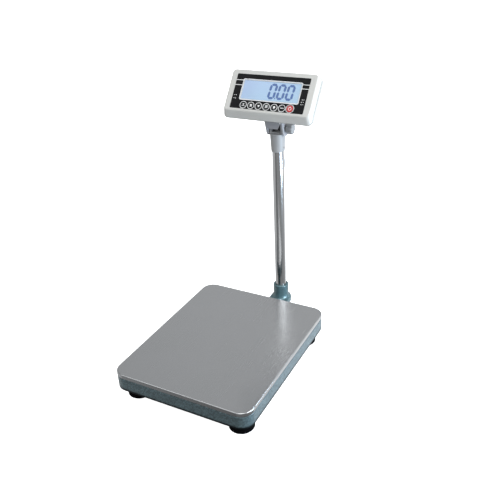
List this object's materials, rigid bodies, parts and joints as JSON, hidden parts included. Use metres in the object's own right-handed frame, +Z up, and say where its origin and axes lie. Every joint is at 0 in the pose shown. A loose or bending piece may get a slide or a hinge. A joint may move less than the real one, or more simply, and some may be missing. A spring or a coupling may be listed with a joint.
{
  "type": "bench scale",
  "caption": "Bench scale with a rectangular steel weighing pan on a painted base, levelling feet, and a tilting display on a tube column behind the platform.",
  "frame": {"origin": "on the floor, at the centre of the object's footprint, from the platform's front edge to the rear end of the column arm", "axes": "+Z up; -Y to the front, where the operator stands; +X to the operator's right"},
  "size_m": [0.42, 0.6915, 0.7777],
  "materials": {
    "hammer_paint": "hammertone enamel",
    "arm_paint": "hammertone enamel",
    "pan_steel": "satin stainless sheet",
    "tube_steel": "polished stainless tube",
    "zinc": "zinc plated",
    "dark_steel": "blackened socket screws",
    "cell_alloy": "milled",
    "black_rubber": "moulded, matt",
    "level_vial": "clear tinted vial in a plastic holder",
    "cable_sheath": "matt sheath",
    "socket_plastic": "moulded grey",
    "bracket_paint": "smooth grey powder coat",
    "knob_plastic": "moulded grey",
    "washer_nylon": "natural nylon",
    "housing_plastic": "fine textured off-white",
    "gasket_rubber": "foam strip",
    "overlay_black": "printed polyester film",
    "print_white": "white print",
    "lcd_frame_white": "white print",
    "window_clear": "clear film",
    "lcd_blue": "backlit liquid crystal",
    "lcd_segment": "dark segments",
    "diffuser": "milky diffuser",
    "board_green": "circuit board",
    "battery_wrap": "shrink sleeve",
    "black_plastic": "moulded black",
    "key_black": "embossed film key with a white outline",
    "key_red": "embossed film key"
  },
  "bodies": {
    "base": {"base_frame": "hammer_paint", "base_channel": "hammer_paint", "base_crossbars": "hammer_paint", "stop_screws": "zinc", "lock_nuts": "zinc", "spirit_level": "level_vial", "load_cell": "cell_alloy", "cell_spacers": "cell_alloy", "cell_bolts": "dark_steel", "pan_support": "hammer_paint", "pan_bumpers": "black_rubber", "bracket_riser": "arm_paint", "column_bracket": "arm_paint", "bracket_bolts": "zinc", "collar_screws": "dark_steel", "column_tube": "tube_steel", "cable_grommet": "black_rubber", "inner_cable": "cable_sheath", "cable_loop": "cable_sheath", "column_socket": "socket_plastic", "socket_screws": "dark_steel", "tilt_bush": "black_plastic"},
    "pan": {"pan": "pan_steel"},
    "indicator": {"tilt_bracket": "bracket_paint", "tilt_bracket_screws": "zinc", "tilt_bolt": "zinc", "tilt_washers": "washer_nylon", "rear_shell": "housing_plastic", "shell_gasket": "gasket_rubber", "front_shell": "housing_plastic", "shell_screws": "zinc", "overlay": "overlay_black", "overlay_lines": "print_white", "lcd_frame": "lcd_frame_white", "lcd_window": "window_clear", "lcd_panel": "lcd_blue", "lcd_digits": "lcd_segment", "lcd_backlight": "diffuser", "keypad_board": "board_green", "main_board": "board_green", "battery": "battery_wrap", "dc_socket": "black_plastic", "cable_gland": "black_plastic"},
    "tilt_knob": {"tilt_knob": "knob_plastic"},
    "battery_door": {"battery_door": "housing_plastic"},
    "foot_front_left": {"foot_pad_fl": "black_rubber", "foot_stud_fl": "zinc"},
    "foot_front_right": {"foot_pad_fr": "black_rubber", "foot_stud_fr": "zinc"},
    "foot_rear_left": {"foot_pad_rl": "black_rubber", "foot_stud_rl": "zinc"},
    "foot_rear_right": {"foot_pad_rr": "black_rubber", "foot_stud_rr": "zinc"},
    "key_1": {"key_1": "key_black"},
    "key_2": {"key_2": "key_black"},
    "key_3": {"key_3": "key_black"},
    "key_4": {"key_4": "key_black"},
    "key_5": {"key_5": "key_black"},
    "key_6": {"key_6": "key_black"},
    "power_key": {"power_key": "key_red"}
  },
  "joints": [
    {"name": "indicator_tilt", "type": "hinge", "parent": "base", "child": "indicator", "pos_m": [0, 0.306, 0.611], "axis": [1, 0, 0], "range_deg": [-30, 37], "deforming": ["cable_loop"]},
    {"name": "tilt_knob_turn", "type": "hinge", "parent": "indicator", "child": "tilt_knob", "pos_m": [0.04, 0.306, 0.611], "axis": [1, 0, 0], "continuous": true},
    {"name": "pan_lift", "type": "slide", "parent": "base", "child": "pan", "axis": [0, 0, 1], "range_m": [0, 0.12]},
    {"name": "battery_door_release", "type": "slide", "parent": "indicator", "child": "battery_door", "axis": [0, 0.7986, -0.6018], "range_m": [0, 0.03]},
    {"name": "foot_front_left_turn", "type": "hinge", "parent": "base", "child": "foot_front_left", "pos_m": [-0.162, -0.286, 0.03], "axis": [0, 0, 1], "continuous": true},
    {"name": "foot_front_right_turn", "type": "hinge", "parent": "base", "child": "foot_front_right", "pos_m": [0.162, -0.286, 0.03], "axis": [0, 0, 1], "continuous": true},
    {"name": "foot_rear_left_turn", "type": "hinge", "parent": "base", "child": "foot_rear_left", "pos_m": [-0.162, 0.126, 0.03], "axis": [0, 0, 1], "continuous": true},
    {"name": "foot_rear_right_turn", "type": "hinge", "parent": "base", "child": "foot_rear_right", "pos_m": [0.162, 0.126, 0.03], "axis": [0, 0, 1], "continuous": true},
    {"name": "key_1_press", "type": "slide", "parent": "indicator", "child": "key_1", "axis": [0, 0.7986, -0.6018], "range_m": [0, 0.0004], "stiffness_N_per_m": 800},
    {"name": "key_2_press", "type": "slide", "parent": "indicator", "child": "key_2", "axis": [0, 0.7986, -0.6018], "range_m": [0, 0.0004], "stiffness_N_per_m": 800},
    {"name": "key_3_press", "type": "slide", "parent": "indicator", "child": "key_3", "axis": [0, 0.7986, -0.6018], "range_m": [0, 0.0004], "stiffness_N_per_m": 800},
    {"name": "key_4_press", "type": "slide", "parent": "indicator", "child": "key_4", "axis": [0, 0.7986, -0.6018], "range_m": [0, 0.0004], "stiffness_N_per_m": 800},
    {"name": "key_5_press", "type": "slide", "parent": "indicator", "child": "key_5", "axis": [0, 0.7986, -0.6018], "range_m": [0, 0.0004], "stiffness_N_per_m": 800},
    {"name": "key_6_press", "type": "slide", "parent": "indicator", "child": "key_6", "axis": [0, 0.7986, -0.6018], "range_m": [0, 0.0004], "stiffness_N_per_m": 800},
    {"name": "power_key_press", "type": "slide", "parent": "indicator", "child": "power_key", "axis": [0, 0.7986, -0.6018], "range_m": [0, 0.0004], "stiffness_N_per_m": 800}
  ]
}
